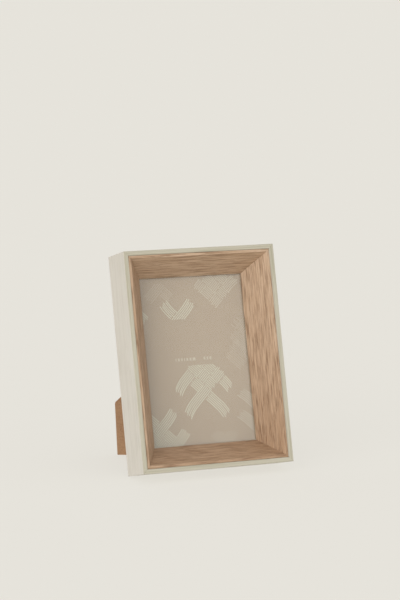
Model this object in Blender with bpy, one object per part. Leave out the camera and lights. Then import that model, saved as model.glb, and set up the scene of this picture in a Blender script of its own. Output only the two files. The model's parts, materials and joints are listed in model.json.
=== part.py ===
"""Tabletop photograph frame with a deep oak slip, standing on a hinged strut.

The frame is modelled upright: X runs along the bottom rail, -Y is the front and
Z runs up the picture.  An empty then tips the whole frame back until it stands on
its lower back edge and on the toe of the open strut.  Lengths are in metres.
"""

import math

import bmesh
import bpy
from mathutils import Matrix, Vector

MM = 0.001
GAP = 0.3 * MM

# Outside of the frame
FRAME_WIDTH = 140 * MM
FRAME_HEIGHT = 192 * MM
FRAME_DEPTH = 40 * MM
LEAN = math.radians(14.4)

# Painted outer rails
RAIL_THICKNESS = 4 * MM

# Oak slip: a flat lip, then a long slope down to the glass
LIP_RECESS = 0.8 * MM
LIP_WIDTH = 2.5 * MM
SIGHT_INSET = 22 * MM
SLOPE_END_DEPTH = 27 * MM
SIGHT_EDGE = 1 * MM
REBATE_INSET = 18.4 * MM
SLIP_BACK_DEPTH = 34.6 * MM

# Layers held in the rebate
GLASS_THICKNESS = 2 * MM
PRINT_WIDTH = 101.6 * MM
PRINT_HEIGHT = 152.4 * MM
PRINT_THICKNESS = 0.4 * MM
BOARD_THICKNESS = 3 * MM

# V-shaped nails across the slip's mitres
NAIL_INSET = 9.5 * MM
NAIL_LEG = 4.5 * MM
NAIL_STEEL = 0.5 * MM
NAIL_LENGTH = 5.5 * MM
NAIL_SINK = 0.2 * MM

# Turn buttons on the slip's back
BUTTON_ARM = 13 * MM
BUTTON_TAIL = 4 * MM
BUTTON_WIDTH = 5 * MM
BUTTON_STEEL = 0.8 * MM
BUTTON_HOLE_RADIUS = 1.2 * MM
SCREW_HEAD_RADIUS = 2.4 * MM
SCREW_HEAD_HEIGHT = 1.2 * MM
SCREW_SHANK_RADIUS = 1.1 * MM
SCREW_LENGTH = 8 * MM

# Strut and its hinge, set diagonally so that the frame stands upright or on its side
STRUT_OPEN = math.radians(36)
HINGE_INSET = 103 * MM
HINGE_TURN = math.radians(45)
STRUT_THICKNESS = 3 * MM
STRUT_HALF_WIDTH = 36 * MM
STRUT_TOP_HALF_WIDTH = 18 * MM
STRUT_HEEL = 5.5 * MM
STRUT_SHOULDER = 14 * MM
NOTCH_HALF_WIDTH = 11 * MM
NOTCH_DEPTH = 2.5 * MM
LEAF_HALF_WIDTH = 10 * MM
LEAF_LENGTH = 13 * MM
LEAF_STEEL = 0.8 * MM
KNUCKLE_RADIUS = 1.7 * MM
BORE_RADIUS = 0.85 * MM
PIN_RADIUS = 0.78 * MM
PIN_HEAD_RADIUS = 1.4 * MM
PIN_HEAD_LENGTH = 0.6 * MM
MIDDLE_KNUCKLE = 4 * MM
KNUCKLE_GAP = 0.2 * MM
RIVET_SPACING = 6 * MM
RIVET_REACH = 8.5 * MM
RIVET_HEAD_RADIUS = 2.2 * MM
RIVET_HEAD_HEIGHT = 0.9 * MM
RIVET_SHANK_RADIUS = 1.0 * MM
RIVET_HOLE_RADIUS = 1.3 * MM

ROUND_STEPS = 24
ROOT_TWO = math.sqrt(2)

# Depths below the front face, each layer a gap behind the one before it
SIGHT_DEPTH = SLOPE_END_DEPTH + SIGHT_EDGE
GLASS_FRONT = SIGHT_DEPTH + GAP
PRINT_FRONT = GLASS_FRONT + GLASS_THICKNESS + GAP
BOARD_FRONT = PRINT_FRONT + PRINT_THICKNESS + GAP
BOARD_BACK = BOARD_FRONT + BOARD_THICKNESS
PANEL_INSET = REBATE_INSET + GAP
SLIP_OUTER_INSET = RAIL_THICKNESS + GAP

# Heights behind the back plane, which is Y = 0 in the upright frame
SLIP_BACK_Y = SLIP_BACK_DEPTH - FRAME_DEPTH
BOARD_BACK_Y = BOARD_BACK - FRAME_DEPTH
AXIS_Y = BOARD_BACK_Y + GAP + KNUCKLE_RADIUS
STRUT_FACE = KNUCKLE_RADIUS + GAP
STRUT_BACK = STRUT_FACE + STRUT_THICKNESS
BUTTON_PIVOT_INSET = (SLIP_OUTER_INSET + REBATE_INSET) / 2

COLOURS = {
    "limed_paint": ((0.60, 0.56, 0.46, 1.0), 0.60, 0.0),
    "oak": ((0.42, 0.27, 0.15, 1.0), 0.55, 0.0),
    "glass": ((0.85, 0.88, 0.87, 0.35), 0.05, 0.0),
    "card": ((0.48, 0.39, 0.29, 1.0), 0.75, 0.0),
    "hardboard": ((0.30, 0.17, 0.08, 1.0), 0.80, 0.0),
    "zinc_steel": ((0.60, 0.60, 0.58, 1.0), 0.35, 1.0),
}


def clear_scene():
    """Remove every object from the open scene."""
    for old in list(bpy.data.objects):
        bpy.data.objects.remove(old, do_unlink=True)


def principled(name, finish):
    """Return a Principled material for one part, in one of the named finishes."""
    colour, roughness, metallic = COLOURS[finish]
    material = bpy.data.materials.new(name)
    material.use_nodes = True
    shader = material.node_tree.nodes["Principled BSDF"]
    shader.inputs["Base Color"].default_value = colour
    shader.inputs["Roughness"].default_value = roughness
    shader.inputs["Metallic"].default_value = metallic
    return material


def add_empty(name, parent=None, location=(0, 0, 0), rotation=(0, 0, 0)):
    """Add an empty that parts are parented to."""
    holder = bpy.data.objects.new(name, None)
    holder.parent = parent
    holder.location = location
    holder.rotation_euler = rotation
    bpy.context.collection.objects.link(holder)
    return holder


def add_part(name, shape, finish, parent, location=(0, 0, 0), rotation=(0, 0, 0)):
    """Turn a bmesh into a named part with its own material."""
    bmesh.ops.recalc_face_normals(shape, faces=shape.faces)
    mesh = bpy.data.meshes.new(name)
    shape.to_mesh(mesh)
    shape.free()
    part = bpy.data.objects.new(name, mesh)
    part.parent = parent
    part.location = location
    part.rotation_euler = rotation
    part.data.materials.append(principled(name, finish))
    bpy.context.collection.objects.link(part)
    return part


def shade_round(part):
    """Shade a turned part smooth, with its real corners left sharp."""
    part.data.shade_smooth()
    part.data.set_sharp_from_angle(angle=math.radians(40))


def cut_away(part, name, shape, parent, location=(0, 0, 0), rotation=(0, 0, 0)):
    """Subtract a hidden cutter from a part."""
    cutter = add_part(name, shape, "zinc_steel", parent, location, rotation)
    cutter.hide_render = True
    cutter.display_type = "WIRE"
    cut = part.modifiers.new(name, "BOOLEAN")
    cut.operation = "DIFFERENCE"
    cut.solver = "EXACT"
    cut.object = cutter
    return cutter


def cut_again(part, cutter):
    """Subtract a cutter that already exists from another part."""
    cut = part.modifiers.new(cutter.name, "BOOLEAN")
    cut.operation = "DIFFERENCE"
    cut.solver = "EXACT"
    cut.object = cutter


def extruded(outline, travel):
    """Return a bmesh of a flat outline of 3-D points, extruded along a vector."""
    shape = bmesh.new()
    corners = [shape.verts.new(point) for point in outline]
    face = shape.faces.new(corners)
    grown = bmesh.ops.extrude_face_region(shape, geom=[face])
    moved = [item for item in grown["geom"] if isinstance(item, bmesh.types.BMVert)]
    bmesh.ops.translate(shape, verts=moved, vec=Vector(travel))
    return shape


def block(low, high):
    """Return a bmesh of a box between two corners."""
    (x0, y0, z0), (x1, y1, z1) = low, high
    outline = [(x0, y0, z0), (x1, y0, z0), (x1, y0, z1), (x0, y0, z1)]
    return extruded(outline, (0, y1 - y0, 0))


def rod(radius, start, end, axis="Y"):
    """Return a bmesh of a round bar from start to end along Y or X."""
    shape = bmesh.new()
    turn = Matrix.Rotation(math.radians(-90), 4, "X") if axis == "Y" else Matrix.Rotation(math.radians(90), 4, "Y")
    middle = (start + end) / 2
    shift = Matrix.Translation((0, middle, 0) if axis == "Y" else (middle, 0, 0))
    bmesh.ops.create_cone(
        shape,
        cap_ends=True,
        segments=ROUND_STEPS,
        radius1=radius,
        radius2=radius,
        depth=abs(end - start),
        matrix=shift @ turn,
    )
    return shape


def turned(profile):
    """Return a bmesh turned about Y from (radius, height) points that start and end on the axis."""
    shape = bmesh.new()
    points = [shape.verts.new((radius, height, 0)) for radius, height in profile]
    edges = [shape.edges.new(pair) for pair in zip(points, points[1:])]
    bmesh.ops.spin(
        shape,
        geom=points + edges,
        cent=(0, 0, 0),
        axis=(0, 1, 0),
        angle=math.tau,
        steps=ROUND_STEPS,
        use_merge=True,
    )
    bmesh.ops.remove_doubles(shape, verts=shape.verts, dist=0.01 * MM)
    return shape


def arc(centre, radius, start, end, steps):
    """Return points on an arc of a circle, both ends included, angles in degrees."""
    angles = [math.radians(start + (end - start) * step / steps) for step in range(steps + 1)]
    return [(centre[0] + radius * math.cos(a), centre[1] + radius * math.sin(a)) for a in angles]


def dome(radius, base, height, steps=4):
    """Return the (radius, height) points of a domed head, from its rim to its crown."""
    quarter = [math.radians(90 * step / steps) for step in range(steps + 1)]
    return [(radius * math.cos(a), base + height * math.sin(a)) for a in quarter[:-1]] + [(0, base + height)]


# ---------------------------------------------------------------- frame joinery

SIDES = {
    "bottom": (FRAME_WIDTH, (0, 0, 0), 0),
    "left": (FRAME_HEIGHT, (-FRAME_WIDTH / 2, 0, FRAME_HEIGHT / 2), 90),
    "top": (FRAME_WIDTH, (0, 0, FRAME_HEIGHT), 180),
    "right": (FRAME_HEIGHT, (FRAME_WIDTH / 2, 0, FRAME_HEIGHT / 2), -90),
}


def mitred_rail(length, profile):
    """Return a rail along X with 45 degree ends, from (inset, depth) profile points."""
    setback = GAP / ROOT_TWO
    outline = [(0, depth - FRAME_DEPTH, inset) for inset, depth in profile]
    shape = extruded(outline, (length, 0, 0))
    for corner in shape.verts:
        reach = length / 2 - corner.co.z - setback
        corner.co.x = reach if corner.co.x > length / 2 else -reach
    return shape


def outer_rail_profile():
    """Return the plain board section of a painted rail."""
    return [(0, 0), (RAIL_THICKNESS, 0), (RAIL_THICKNESS, FRAME_DEPTH), (0, FRAME_DEPTH)]


def slip_profile():
    """Return the oak section: lip, slope, sight edge and the rebate behind it."""
    lip_end = SLIP_OUTER_INSET - GAP + LIP_WIDTH
    return [
        (SLIP_OUTER_INSET, LIP_RECESS),
        (lip_end, LIP_RECESS),
        (SIGHT_INSET, SLOPE_END_DEPTH),
        (SIGHT_INSET, SIGHT_DEPTH),
        (REBATE_INSET, SIGHT_DEPTH),
        (REBATE_INSET, SLIP_BACK_DEPTH),
        (SLIP_OUTER_INSET, SLIP_BACK_DEPTH),
    ]


def build_joinery(stand):
    """Build the four painted rails and the four slip mouldings, and return the slips."""
    slips = {}
    for side, (length, place, turn) in SIDES.items():
        rotation = (0, math.radians(turn), 0)
        rail = mitred_rail(length, outer_rail_profile())
        add_part(f"outer_rail_{side}", rail, "limed_paint", stand, place, rotation)
        slip = mitred_rail(length, slip_profile())
        slips[side] = add_part(f"inner_slip_{side}", slip, "oak", stand, place, rotation)
    return slips


def nail_outline(margin):
    """Return an L-shaped outline in (x, z), grown by a margin on every side."""
    near = -margin
    inner = NAIL_STEEL + margin
    far = NAIL_LEG + margin
    return [(near, near), (far, near), (far, inner), (inner, inner), (inner, far), (near, far)]


def nail_shape(margin, front, back):
    """Return a V-nail, or the slot for one, between two heights."""
    outline = [(x, front, z) for x, z in nail_outline(margin)]
    return extruded(outline, (0, back - front, 0))


def build_corner_nails(stand, slips):
    """Drive one V-nail across each mitre of the slip, from behind."""
    half = FRAME_WIDTH / 2 - NAIL_INSET
    corners = {
        ("bottom", "left"): ((-half, 0, NAIL_INSET), 0),
        ("top", "left"): ((-half, 0, FRAME_HEIGHT - NAIL_INSET), 90),
        ("top", "right"): ((half, 0, FRAME_HEIGHT - NAIL_INSET), 180),
        ("bottom", "right"): ((half, 0, NAIL_INSET), 270),
    }
    nail_back = SLIP_BACK_Y - NAIL_SINK
    nail_front = nail_back - NAIL_LENGTH
    for (level, side), (place, turn) in corners.items():
        rotation = (0, math.radians(turn), 0)
        name = f"corner_nail_{level}_{side}"
        nail = nail_shape(0, nail_front, nail_back)
        add_part(name, nail, "zinc_steel", stand, place, rotation)
        slot = nail_shape(GAP, nail_front - GAP, SLIP_BACK_Y + GAP)
        cutter = cut_away(slips[level], f"slot_{name}", slot, stand, place, rotation)
        cut_again(slips[side], cutter)


def build_layers(stand):
    """Build the glass, the printed insert and the back board, and return the board."""

    def panel(name, finish, width, height, front, thickness):
        front_y = front - FRAME_DEPTH
        middle = FRAME_HEIGHT / 2
        low = (-width / 2, front_y, middle - height / 2)
        high = (width / 2, front_y + thickness, middle + height / 2)
        return add_part(name, block(low, high), finish, stand)

    width = FRAME_WIDTH - 2 * PANEL_INSET
    height = FRAME_HEIGHT - 2 * PANEL_INSET
    panel("glass_pane", "glass", width, height, GLASS_FRONT, GLASS_THICKNESS)
    panel("print_insert", "card", PRINT_WIDTH, PRINT_HEIGHT, PRINT_FRONT, PRINT_THICKNESS)
    return panel("back_board", "hardboard", width, height, BOARD_FRONT, BOARD_THICKNESS)


# ---------------------------------------------------------------- turn buttons


def button_shape():
    """Return a turn button: a strip with round ends, its pivot at the origin, arm along +X."""
    radius = BUTTON_WIDTH / 2
    arm_end = arc((BUTTON_ARM - radius, 0), radius, -90, 90, 8)
    tail_end = arc((radius - BUTTON_TAIL, 0), radius, 90, 270, 8)
    outline = [(x, 0, z) for x, z in arm_end + tail_end]
    return extruded(outline, (0, BUTTON_STEEL, 0))


def screw_shape():
    """Return a pan-head wood screw whose head starts at height 0 and points along +Y."""
    tip = 1.5 * MM
    shank = [(0, -SCREW_LENGTH), (SCREW_SHANK_RADIUS, tip - SCREW_LENGTH), (SCREW_SHANK_RADIUS, 0)]
    return turned(shank + dome(SCREW_HEAD_RADIUS, 0, SCREW_HEAD_HEIGHT))


def build_turn_buttons(stand, slips):
    """Fit two turn buttons on each long side, with their screws in pilot holes."""
    x = FRAME_WIDTH / 2 - BUTTON_PIVOT_INSET
    button_y = SLIP_BACK_Y + GAP
    head_y = button_y + BUTTON_STEEL + GAP
    levels = {"lower": FRAME_HEIGHT / 4, "upper": FRAME_HEIGHT * 3 / 4}
    for side, sign, turn in (("left", -1, 0), ("right", 1, 180)):
        for level, z in levels.items():
            tag = f"{level}_{side}"
            rotation = (0, math.radians(turn), 0)
            button = add_part(
                f"turn_button_{tag}", button_shape(), "zinc_steel", stand, (sign * x, button_y, z), rotation
            )
            hole = rod(BUTTON_HOLE_RADIUS, -GAP, BUTTON_STEEL + GAP)
            cut_away(button, f"hole_button_{tag}", hole, stand, (sign * x, button_y, z))
            head = (sign * x, head_y, z)
            screw = add_part(f"button_screw_{tag}", screw_shape(), "zinc_steel", stand, head)
            shade_round(screw)
            pilot = rod(SCREW_SHANK_RADIUS + GAP, -SCREW_LENGTH - GAP, 0)
            cut_away(slips[side], f"pilot_{tag}", pilot, stand, head)


# ---------------------------------------------------------------- strut and hinge


def opened_point(across, along, out):
    """Return the upright-frame place of a point on the open strut.

    across runs along the hinge, along runs from the hinge to the toe and out is
    the height above the hinge's axis, square to the strut.
    """
    run = along * math.cos(STRUT_OPEN) - out * math.sin(STRUT_OPEN)
    rise = along * math.sin(STRUT_OPEN) + out * math.cos(STRUT_OPEN)
    x = HINGE_INSET - FRAME_WIDTH / 2 + (across - run) / ROOT_TWO
    z = HINGE_INSET - (across + run) / ROOT_TWO
    return Vector((x, AXIS_Y + rise, z))


def standing(point):
    """Return (Y, Z) of an upright-frame point once the frame leans back."""
    y = point.z * math.sin(LEAN) + point.y * math.cos(LEAN)
    z = point.z * math.cos(LEAN) - point.y * math.sin(LEAN)
    return y, z


def reach_to_ground(across):
    """Return how far along the strut its inner face meets the ground."""
    _, start = standing(opened_point(across, 0, STRUT_FACE))
    _, end = standing(opened_point(across, 1, STRUT_FACE))
    return start / (start - end)


def strut_outline():
    """Return the strut's (across, along) outline, its toe cut to stand upright or on its side."""
    toe = reach_to_ground(0)
    foot = reach_to_ground(STRUT_HALF_WIDTH)
    right = [
        (NOTCH_HALF_WIDTH, NOTCH_DEPTH),
        (NOTCH_HALF_WIDTH, -STRUT_HEEL),
        (STRUT_TOP_HALF_WIDTH, -STRUT_HEEL),
        (STRUT_HALF_WIDTH, STRUT_SHOULDER),
        (STRUT_HALF_WIDTH, foot),
    ]
    left = [(-across, along) for across, along in reversed(right)]
    return right + [(0, toe)] + left


def leaf_shape(direction):
    """Return a hinge leaf with its knuckle: direction +1 lies on the strut, -1 on the board.

    The strut's own directions are X along the hinge, Y out of the back and Z up the strut.
    """
    inner = KNUCKLE_RADIUS - LEAF_STEEL
    meet = math.degrees(math.asin(inner / KNUCKLE_RADIUS))
    curl = arc((0, 0), KNUCKLE_RADIUS, 90, 360 + meet, 20)
    section = [(z, y) for z, y in curl] + [(LEAF_LENGTH, inner), (LEAF_LENGTH, KNUCKLE_RADIUS)]
    outline = [(-LEAF_HALF_WIDTH, direction * y, -direction * z) for z, y in section]
    return extruded(outline, (2 * LEAF_HALF_WIDTH, 0, 0))


def knuckle_room(low, high, direction):
    """Return the space that one leaf leaves for the other's knuckle."""
    clear = KNUCKLE_RADIUS + GAP
    bottom = -clear if direction > 0 else -2 * clear
    return block((low, -2 * clear, bottom), (high, 2 * clear, bottom + 3 * clear))


def rivet_shape(length):
    """Return a domed rivet whose head starts at height 0 and points along +Y."""
    shank = [(0, -length), (RIVET_SHANK_RADIUS, -length), (RIVET_SHANK_RADIUS, 0)]
    return turned(shank + dome(RIVET_HEAD_RADIUS, 0, RIVET_HEAD_HEIGHT))


def pin_shape():
    """Return the headed hinge pin along Y; its object turns it onto the hinge's axis."""
    half = LEAF_HALF_WIDTH + KNUCKLE_GAP
    profile = [(0, -half - PIN_HEAD_LENGTH)]
    profile += [(PIN_HEAD_RADIUS * 0.7, -half - PIN_HEAD_LENGTH), (PIN_HEAD_RADIUS, -half - PIN_HEAD_LENGTH / 2)]
    profile += [(PIN_HEAD_RADIUS, -half), (PIN_RADIUS, -half), (PIN_RADIUS, half), (PIN_HEAD_RADIUS, half)]
    profile += [(PIN_HEAD_RADIUS, half + PIN_HEAD_LENGTH / 2), (PIN_HEAD_RADIUS * 0.7, half + PIN_HEAD_LENGTH)]
    profile += [(0, half + PIN_HEAD_LENGTH)]
    return turned(profile)


def build_strut(strut_pivot):
    """Build the hardboard strut around the hinge's axis."""
    outline = [(across, STRUT_FACE, -along) for across, along in strut_outline()]
    shape = extruded(outline, (0, STRUT_THICKNESS, 0))
    return add_part("strut", shape, "hardboard", strut_pivot)


def build_hinge(hinge_seat, strut_pivot, board, strut):
    """Build both leaves, the pin and the rivets, and bore what they pass through."""
    half = LEAF_HALF_WIDTH + GAP
    side = MIDDLE_KNUCKLE + KNUCKLE_GAP / 2
    centre = MIDDLE_KNUCKLE + KNUCKLE_GAP
    board_leaf = add_part("hinge_leaf_board", leaf_shape(-1), "zinc_steel", hinge_seat)
    strut_leaf = add_part("hinge_leaf_strut", leaf_shape(1), "zinc_steel", strut_pivot)
    for sign, label in ((-1, "near"), (1, "far")):
        low, high = sorted((sign * side, sign * half))
        cut_away(board_leaf, f"room_{label}", knuckle_room(low, high, -1), hinge_seat)
    cut_away(strut_leaf, "room_middle", knuckle_room(-centre, centre, 1), strut_pivot)
    cut_away(board_leaf, "bore_board_leaf", rod(BORE_RADIUS, -half, half, "X"), hinge_seat)
    cut_away(strut_leaf, "bore_strut_leaf", rod(BORE_RADIUS, -half, half, "X"), strut_pivot)
    pin = add_part("hinge_pin", pin_shape(), "zinc_steel", hinge_seat, rotation=(0, 0, math.radians(-90)))
    shade_round(pin)

    leaf_top = LEAF_STEEL - KNUCKLE_RADIUS
    board_face = BOARD_BACK_Y - AXIS_Y
    board_rivet = leaf_top + GAP - (board_face - BOARD_THICKNESS + GAP)
    strut_rivet = STRUT_BACK + GAP - (KNUCKLE_RADIUS - LEAF_STEEL)
    hole_half = 3 * STRUT_THICKNESS
    for number, sign in enumerate((-1, 1), start=1):
        across = sign * RIVET_SPACING
        on_board = (across, leaf_top + GAP, RIVET_REACH)
        on_strut = (across, STRUT_BACK + GAP, -RIVET_REACH)
        rivet = add_part(f"board_rivet_{number}", rivet_shape(board_rivet), "zinc_steel", hinge_seat, on_board)
        shade_round(rivet)
        rivet = add_part(f"strut_rivet_{number}", rivet_shape(strut_rivet), "zinc_steel", strut_pivot, on_strut)
        shade_round(rivet)
        board_hole = rod(RIVET_HOLE_RADIUS, -hole_half, hole_half)
        cutter = cut_away(board_leaf, f"board_hole_{number}", board_hole, hinge_seat, on_board)
        cut_again(board, cutter)
        strut_hole = rod(RIVET_HOLE_RADIUS, -hole_half, hole_half)
        cutter = cut_away(strut_leaf, f"strut_hole_{number}", strut_hole, strut_pivot, on_strut)
        cut_again(strut, cutter)


def build_frame():
    """Build the whole frame, leaning back on its strut."""
    clear_scene()
    front, _ = standing(Vector((0, -FRAME_DEPTH, 0)))
    rear, _ = standing(opened_point(0, reach_to_ground(0), STRUT_BACK))
    stand = add_empty("leaning_frame", location=(0, -(front + rear) / 2, 0), rotation=(-LEAN, 0, 0))
    slips = build_joinery(stand)
    build_corner_nails(stand, slips)
    board = build_layers(stand)
    build_turn_buttons(stand, slips)

    hinge_place = (HINGE_INSET - FRAME_WIDTH / 2, AXIS_Y, HINGE_INSET)
    hinge_seat = add_empty("hinge_seat", stand, hinge_place, (0, HINGE_TURN, 0))
    strut_pivot = add_empty("strut_pivot", hinge_seat, rotation=(STRUT_OPEN, 0, 0))
    strut = build_strut(strut_pivot)
    build_hinge(hinge_seat, strut_pivot, board, strut)


build_frame()
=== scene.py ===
"""Finished surfaces for a tabletop picture frame with a deep oak slip.

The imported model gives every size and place.  Pieces are modelled upright, with X
along the bottom rail, -Y out of the front and Z up the picture, and are then laid
back onto the strut with the rest of the frame.
"""

import json
import logging
import math
from dataclasses import dataclass, field
from enum import Enum
from typing import Any, Callable, Iterable, Optional, Sequence

import bmesh
import bpy
from mathutils import Matrix, Vector

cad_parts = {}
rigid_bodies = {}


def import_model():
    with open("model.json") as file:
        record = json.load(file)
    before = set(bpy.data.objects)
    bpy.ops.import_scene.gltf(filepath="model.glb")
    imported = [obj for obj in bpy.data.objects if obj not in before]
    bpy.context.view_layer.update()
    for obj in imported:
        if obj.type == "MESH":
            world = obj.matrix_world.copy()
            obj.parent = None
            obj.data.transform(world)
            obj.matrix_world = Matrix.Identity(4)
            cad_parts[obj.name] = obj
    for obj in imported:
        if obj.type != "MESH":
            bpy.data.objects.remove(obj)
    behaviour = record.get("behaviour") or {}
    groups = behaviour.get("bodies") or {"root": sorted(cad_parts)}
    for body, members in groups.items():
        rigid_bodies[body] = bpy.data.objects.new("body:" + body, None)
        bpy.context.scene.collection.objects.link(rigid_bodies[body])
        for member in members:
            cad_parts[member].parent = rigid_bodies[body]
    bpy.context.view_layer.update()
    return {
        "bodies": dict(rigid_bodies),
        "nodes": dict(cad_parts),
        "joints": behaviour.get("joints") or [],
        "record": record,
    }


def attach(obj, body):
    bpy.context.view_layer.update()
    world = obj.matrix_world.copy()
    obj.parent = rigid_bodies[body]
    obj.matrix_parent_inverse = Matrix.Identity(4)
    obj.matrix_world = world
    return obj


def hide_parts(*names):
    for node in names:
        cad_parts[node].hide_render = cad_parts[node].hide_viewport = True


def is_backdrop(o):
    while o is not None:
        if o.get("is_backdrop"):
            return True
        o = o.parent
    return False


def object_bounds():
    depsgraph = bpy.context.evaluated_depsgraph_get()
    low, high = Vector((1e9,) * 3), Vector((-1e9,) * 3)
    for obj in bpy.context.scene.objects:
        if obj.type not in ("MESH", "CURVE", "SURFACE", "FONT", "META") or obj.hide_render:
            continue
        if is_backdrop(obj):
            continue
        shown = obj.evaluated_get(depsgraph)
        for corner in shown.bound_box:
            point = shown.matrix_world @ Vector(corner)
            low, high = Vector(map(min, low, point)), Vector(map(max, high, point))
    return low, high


MM = 0.001
# Points closer than this are one point.
WELD = 0.001 * MM
# Edges that turn by more than this count as sharp.
SHARP = math.radians(30)
# Sockets of a colour Mix node, which share their names with those of its other kinds.
MIX_A, MIX_B, MIX_RESULT = 6, 7, 2
# Lays what was turned about Y along X.
ALONG_X = Matrix.Rotation(math.radians(90), 4, "Z")
LOG = logging.getLogger("picture_frame")

Point2 = tuple[float, float]
Span = tuple[float, float]


# --------------------------------------------------------------------------- small tools


def linear(code: str) -> tuple[float, float, float, float]:
    """Turn an sRGB hex colour into linear values.

    Args:
        code: Six hex digits.

    Returns:
        Red, green, blue and an alpha of 1.
    """
    parts = [int(code[at : at + 2], 16) / 255 for at in (0, 2, 4)]
    curve = [part / 12.92 if part <= 0.04045 else ((part + 0.055) / 1.055) ** 2.4 for part in parts]
    return (*curve, 1.0)


def set_inputs(tree: bpy.types.NodeTree, node: bpy.types.Node, inputs: dict) -> None:
    """Give a node's inputs their values or their links.

    Args:
        tree: The node tree.
        node: The node.
        inputs: Values or output sockets for the named or numbered inputs.
    """
    for socket, value in inputs.items():
        if isinstance(value, bpy.types.NodeSocket):
            tree.links.new(value, node.inputs[socket])
        else:
            node.inputs[socket].default_value = value


def add_node(
    tree: bpy.types.NodeTree, kind: str, inputs: Optional[dict] = None, out: int | str = 0, **settings: Any
) -> bpy.types.NodeSocket:
    """Add a node with its settings and its inputs.

    Args:
        tree: The node tree.
        kind: Blender's name for the node.
        inputs: Values or output sockets for the named or numbered inputs.
        out: The name or number of the wanted output.
        **settings: Properties of the node.

    Returns:
        The wanted output.
    """
    node = tree.nodes.new(kind)
    for name, value in settings.items():
        setattr(node, name, value)
    set_inputs(tree, node, inputs or {})
    return node.outputs[out]


def only(kind: type, items: Iterable[Any]) -> list:
    """Return the items of one kind."""
    return [item for item in items if isinstance(item, kind)]


def as_mesh(shape: bmesh.types.BMesh, name: str) -> bpy.types.Mesh:
    """Turn a shape into a mesh and free it.

    Args:
        shape: The shape.
        name: The mesh's name.

    Returns:
        The mesh.
    """
    mesh = bpy.data.meshes.new(name)
    shape.to_mesh(mesh)
    shape.free()
    return mesh


def in_scene(name: str, data: bpy.types.ID) -> bpy.types.Object:
    """Put an object in the scene.

    Args:
        name: Its name.
        data: Its mesh, lamp or camera.

    Returns:
        The object.
    """
    made = bpy.data.objects.new(name, data)
    bpy.context.collection.objects.link(made)
    return made


def about_y(degrees: float) -> Matrix:
    """Return a turn about Y."""
    return Matrix.Rotation(math.radians(degrees), 4, "Y")


def moved(shape: bmesh.types.BMesh, place: Matrix) -> bmesh.types.BMesh:
    """Move a whole shape and return it."""
    bmesh.ops.transform(shape, matrix=place, verts=shape.verts)
    return shape


def extruded(outline: Iterable[Sequence[float]], travel: Sequence[float]) -> bmesh.types.BMesh:
    """Extrude a flat outline of 3-D points along a vector.

    Args:
        outline: The corners, in order.
        travel: The vector of the extrusion.

    Returns:
        A closed solid.
    """
    shape = bmesh.new()
    face = shape.faces.new([shape.verts.new(point) for point in outline])
    grown = bmesh.ops.extrude_face_region(shape, geom=[face])["geom"]
    bmesh.ops.translate(shape, verts=only(bmesh.types.BMVert, grown), vec=Vector(travel))
    bmesh.ops.recalc_face_normals(shape, faces=shape.faces)
    return shape


def block(low: Sequence[float], high: Sequence[float]) -> bmesh.types.BMesh:
    """Make a box between two corners.

    Args:
        low: The corner with the lowest coordinates.
        high: The corner opposite.

    Returns:
        A closed solid.
    """
    centre = (Vector(low) + Vector(high)) / 2
    size = Vector(high) - Vector(low)
    shape = bmesh.new()
    matrix = Matrix.Translation(centre) @ Matrix.Diagonal((*size, 1))
    bmesh.ops.create_cube(shape, size=1, matrix=matrix)
    return shape


def turned(profile: Sequence[Point2], steps: int = 40) -> bmesh.types.BMesh:
    """Turn a profile about Y.

    Args:
        profile: (radius, height) points that start and end on the axis.
        steps: Facets in the full turn.

    Returns:
        A closed round solid.
    """
    shape = bmesh.new()
    points = [shape.verts.new((radius, height, 0)) for radius, height in profile]
    edges = [shape.edges.new(pair) for pair in zip(points, points[1:])]
    bmesh.ops.spin(
        shape, geom=points + edges, cent=(0, 0, 0), axis=(0, 1, 0), angle=math.tau, steps=steps, use_merge=True
    )
    bmesh.ops.remove_doubles(shape, verts=shape.verts, dist=WELD)
    bmesh.ops.recalc_face_normals(shape, faces=shape.faces)
    return shape


def rod(radius: float, low: float, high: float, steps: int) -> bmesh.types.BMesh:
    """Return a round rod about Y, between two heights."""
    return turned([(0, low), (radius, low), (radius, high), (0, high)], steps)


def arc(centre: Point2, radius: float, start: float, end: float, steps: int) -> list[Point2]:
    """Return points on an arc, both ends included, with angles in degrees."""
    angles = [math.radians(start + (end - start) * step / steps) for step in range(steps + 1)]
    return [(centre[0] + radius * math.cos(a), centre[1] + radius * math.sin(a)) for a in angles]


def soften(shape: bmesh.types.BMesh, width: float, chosen: Optional[Callable] = None, segments: int = 2) -> None:
    """Round the sharp edges of a solid.

    Args:
        shape: The solid.
        width: How far the rounding reaches from each edge.
        chosen: A test that picks the edges, or None for all sharp ones.
        segments: Facets across the rounding.
    """
    sharp = [edge for edge in shape.edges if edge.calc_face_angle(0) > SHARP]
    picked = [edge for edge in sharp if chosen is None or chosen(edge)]
    bmesh.ops.bevel(
        shape,
        geom=picked,
        offset=width,
        offset_type="OFFSET",
        segments=segments,
        profile=0.5,
        affect="EDGES",
        clamp_overlap=True,
        material=-1,
    )


def carve(shape: bmesh.types.BMesh, cutters: Sequence[bmesh.types.BMesh]) -> bmesh.types.BMesh:
    """Cut solids away from a solid and free them all.

    Args:
        shape: The solid that is cut.
        cutters: The solids that are taken away.

    Returns:
        What is left.
    """
    made = [in_scene("carving", as_mesh(solid, "carving")) for solid in (shape, *cutters)]
    for cutter in made[1:]:
        cut = made[0].modifiers.new("cut", "BOOLEAN")
        cut.operation = "DIFFERENCE"
        cut.solver = "EXACT"
        cut.object = cutter
    seen = made[0].evaluated_get(bpy.context.evaluated_depsgraph_get())
    result = bmesh.new()
    result.from_mesh(seen.to_mesh())
    seen.to_mesh_clear()
    for body in made:
        mesh = body.data
        bpy.data.objects.remove(body)
        bpy.data.meshes.remove(mesh)
    bmesh.ops.remove_doubles(result, verts=result.verts, dist=WELD / 2)
    return result


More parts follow.
